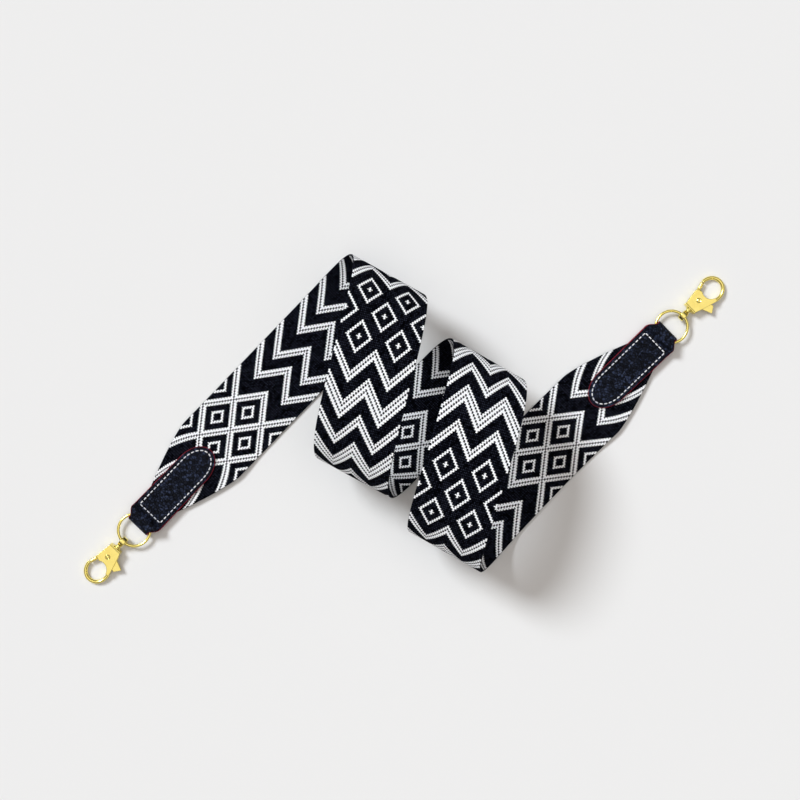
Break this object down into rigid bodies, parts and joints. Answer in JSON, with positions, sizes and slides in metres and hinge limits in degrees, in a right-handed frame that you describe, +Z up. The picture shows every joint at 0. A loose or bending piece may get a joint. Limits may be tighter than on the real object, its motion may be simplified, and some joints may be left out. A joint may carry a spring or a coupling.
{
  "type": "bag strap",
  "caption": "Wide bag strap of zigzag and diamond patterned webbing lying in upright loops, with folded leather tabs, round rings and swivel trigger clasps.",
  "frame": {"origin": "middle of the bounding box in plan, at the height of the table the strap lies on", "axes": "+Z up from the table; +X from the left clasp towards the right clasp, the longest extent; +Y away from the viewer"},
  "size_m": [0.4122, 0.2094, 0.0792],
  "materials": {
    "webbing": "navy and white jacquard weave of zigzags and diamonds",
    "leather": "pebbled navy grain with dark red painted edges",
    "thread": "white waxed thread",
    "gold": "polished light gold plating",
    "spring_steel": "bright spring wire"
  },
  "bodies": {
    "strap": {"webbing": "webbing", "left_leather_tab": "leather", "left_stitching": "thread", "right_leather_tab": "leather", "right_stitching": "thread"},
    "left_ring": {"left_ring": "gold"},
    "left_eye": {"left_swivel_eye": "gold"},
    "left_hook": {"left_hook_body": "gold", "left_rivet_pin": "gold", "left_gate_spring": "spring_steel"},
    "left_lever": {"left_gate_lever": "gold"},
    "right_ring": {"right_ring": "gold"},
    "right_eye": {"right_swivel_eye": "gold"},
    "right_hook": {"right_hook_body": "gold", "right_rivet_pin": "gold", "right_gate_spring": "spring_steel"},
    "right_lever": {"right_gate_lever": "gold"}
  },
  "joints": [
    {"name": "left_ring_swing", "type": "hinge", "parent": "strap", "child": "left_ring", "pos_m": [-0.16808, -0.06469, 0.00395], "axis": [-0.7206, 0.6934, 0], "range_deg": [-40, 40]},
    {"name": "left_eye_swing", "type": "hinge", "parent": "left_ring", "child": "left_eye", "pos_m": [-0.18039, -0.07748, 0.00395], "axis": [-0.7206, 0.6934, 0], "range_deg": [-110, 110]},
    {"name": "left_hook_swivel", "type": "hinge", "parent": "left_eye", "child": "left_hook", "pos_m": [-0.18039, -0.07748, 0.00395], "axis": [-0.6915, -0.7185, -0.0746], "continuous": true},
    {"name": "left_gate_swing", "type": "hinge", "parent": "left_hook", "child": "left_lever", "pos_m": [-0.18993, -0.08725, 0.00293], "axis": [-0.0517, -0.0537, 0.9972], "range_deg": [0, 25], "stiffness_Nm_per_rad": 0.002, "springref_deg": -20.05, "deforming": ["left_gate_spring"]},
    {"name": "right_ring_swing", "type": "hinge", "parent": "strap", "child": "right_ring", "pos_m": [0.16612, 0.05511, 0.00395], "axis": [0.6947, -0.7193, 0], "range_deg": [-40, 40]},
    {"name": "right_eye_swing", "type": "hinge", "parent": "right_ring", "child": "right_eye", "pos_m": [0.17889, 0.06744, 0.00395], "axis": [0.6947, -0.7193, 0], "range_deg": [-110, 110]},
    {"name": "right_hook_swivel", "type": "hinge", "parent": "right_eye", "child": "right_hook", "pos_m": [0.17889, 0.06744, 0.00395], "axis": [0.7173, 0.6927, -0.0746], "continuous": true},
    {"name": "right_gate_swing", "type": "hinge", "parent": "right_hook", "child": "right_lever", "pos_m": [0.18865, 0.077, 0.00293], "axis": [-0.0536, -0.0518, -0.9972], "range_deg": [0, 25], "stiffness_Nm_per_rad": 0.002, "springref_deg": -20.05, "deforming": ["right_gate_spring"]}
  ]
}
